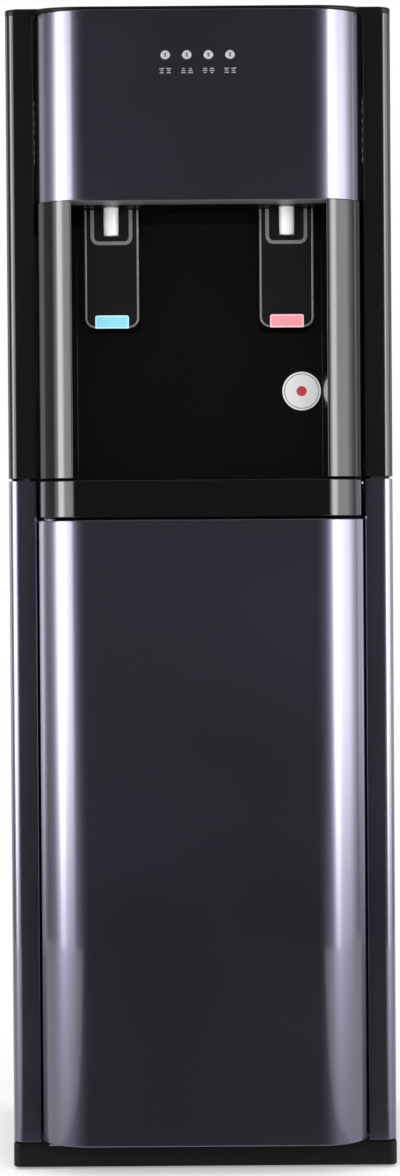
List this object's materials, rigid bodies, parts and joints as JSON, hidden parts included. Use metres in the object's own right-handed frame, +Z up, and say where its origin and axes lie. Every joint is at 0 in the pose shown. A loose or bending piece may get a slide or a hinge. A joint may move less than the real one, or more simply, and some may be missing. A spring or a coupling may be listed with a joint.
{
  "type": "bottom load water cooler",
  "caption": "Tall free-standing bottom load water cooler: curved front door over a bottle bay, dispensing recess with cold and hot push paddles, drip tray and head panel.",
  "frame": {"origin": "bottom centre of the whole cooler, on the surface it stands on", "axes": "+Z up, the front with its door and taps faces -Y, +X is the hot tap's side"},
  "size_m": [0.325, 0.36, 0.98],
  "materials": {
    "graphite_panel": "high gloss graphite, slightly blue",
    "graphite_sheet": "satin graphite paint on steel sheet",
    "black_gloss": "piano black gloss moulding",
    "black_satin": "satin black moulding",
    "black_sheet": "satin black paint on steel sheet",
    "white_plastic": "white moulded plastic",
    "cyan_plastic": "cyan insert",
    "pink_plastic": "pink insert",
    "lens_clear": "milky lamp lens",
    "sticker": "white sticker",
    "zinc_steel": "zinc plated steel",
    "stainless": "stainless steel",
    "foam": "insulating foam",
    "aluminium": "extruded aluminium",
    "board_green": "circuit board",
    "silicone": "translucent silicone",
    "rubber_black": "black rubber",
    "grey_plastic": "grey moulding",
    "heater_metal": "heater band",
    "red_plastic": "red rocker",
    "green_plastic": "green rocker"
  },
  "bodies": {
    "cabinet": {"base_plinth": "black_satin", "foot_pads": "rubber_black", "bay_floor": "grey_plastic", "mid_deck": "zinc_steel", "lower_side_left": "graphite_sheet", "lower_side_right": "graphite_sheet", "upper_side_left": "black_sheet", "upper_side_right": "black_sheet", "lower_rear_panel": "black_sheet", "upper_rear_panel": "black_sheet", "rear_screws": "zinc_steel", "top_cover": "black_satin", "head_panel": "graphite_panel", "indicator_lenses": "lens_clear", "control_board": "board_green", "recess_liner": "black_gloss", "recess_badge": "sticker", "head_underplate": "black_satin", "cold_nozzle": "white_plastic", "hot_nozzle": "white_plastic", "cold_return_spring": "zinc_steel", "hot_return_spring": "zinc_steel", "paddle_pins": "zinc_steel", "tap_microswitches": "black_satin", "tray_housing": "black_satin", "hinge_plates": "zinc_steel", "door_switch": "black_satin", "cold_tank": "stainless", "cold_tank_foam": "foam", "tank_lid": "white_plastic", "cold_block": "aluminium", "peltier_module": "white_plastic", "heat_sink": "aluminium", "fan_frame": "black_satin", "hot_tank": "stainless", "band_heater": "heater_metal", "water_pump": "black_satin", "power_supply": "zinc_steel", "water_hoses": "silicone", "probe_cradle": "grey_plastic", "hose_gland": "white_plastic", "suction_hose": "silicone", "power_inlet": "black_satin", "switch_bezels": "black_satin", "drain_spout": "white_plastic"},
    "door": {"door_skin": "graphite_panel", "door_liner": "grey_plastic", "door_magnet": "rubber_black"},
    "cold_lever": {"cold_paddle": "black_gloss", "cold_tab": "cyan_plastic"},
    "hot_lever": {"hot_paddle": "black_gloss", "hot_tab": "pink_plastic"},
    "tray": {"drip_tray": "black_gloss"},
    "grille": {"drip_grille": "black_satin"},
    "fan": {"fan_rotor": "black_satin"},
    "cold_rocker": {"cold_switch": "green_plastic"},
    "heat_rocker": {"heat_switch": "red_plastic"},
    "probe": {"bottle_probe": "white_plastic", "probe_collar": "grey_plastic"},
    "cap": {"drain_cap": "grey_plastic"}
  },
  "joints": [
    {"name": "door_hinge", "type": "hinge", "parent": "cabinet", "child": "door", "pos_m": [-0.127, -0.155, 0.024], "axis": [0, 0, -1], "range_deg": [0, 110]},
    {"name": "cold_press", "type": "hinge", "parent": "cabinet", "child": "cold_lever", "pos_m": [-0.075, -0.0985, 0.84], "axis": [1, 0, 0], "range_deg": [0, 12], "stiffness_Nm_per_rad": 0.3, "springref_deg": -5.73, "deforming": ["cold_return_spring"]},
    {"name": "hot_press", "type": "hinge", "parent": "cabinet", "child": "hot_lever", "pos_m": [0.075, -0.0985, 0.84], "axis": [1, 0, 0], "range_deg": [0, 12], "stiffness_Nm_per_rad": 0.3, "springref_deg": -5.73, "deforming": ["hot_return_spring"]},
    {"name": "tray_slide", "type": "slide", "parent": "cabinet", "child": "tray", "axis": [0, -1, 0], "range_m": [0, 0.105]},
    {"name": "grille_lift", "type": "slide", "parent": "tray", "child": "grille", "axis": [0, 0, 1], "range_m": [0, 0.03]},
    {"name": "fan_spin", "type": "hinge", "parent": "cabinet", "child": "fan", "pos_m": [-0.072, 0.155, 0.7], "axis": [0, 1, 0], "continuous": true},
    {"name": "cold_switch_tip", "type": "hinge", "parent": "cabinet", "child": "cold_rocker", "pos_m": [0.015, 0.172, 0.632], "axis": [1, 0, 0], "range_deg": [0, 18]},
    {"name": "heat_switch_tip", "type": "hinge", "parent": "cabinet", "child": "heat_rocker", "pos_m": [-0.019, 0.172, 0.632], "axis": [1, 0, 0], "range_deg": [0, 18]},
    {"name": "probe_pull", "type": "slide", "parent": "cabinet", "child": "probe", "axis": [0, -1, 0], "range_m": [0, 0.06], "deforming": ["suction_hose"]},
    {"name": "cap_pull", "type": "slide", "parent": "cabinet", "child": "cap", "axis": [0, 1, 0], "range_m": [0, 0.025]}
  ]
}
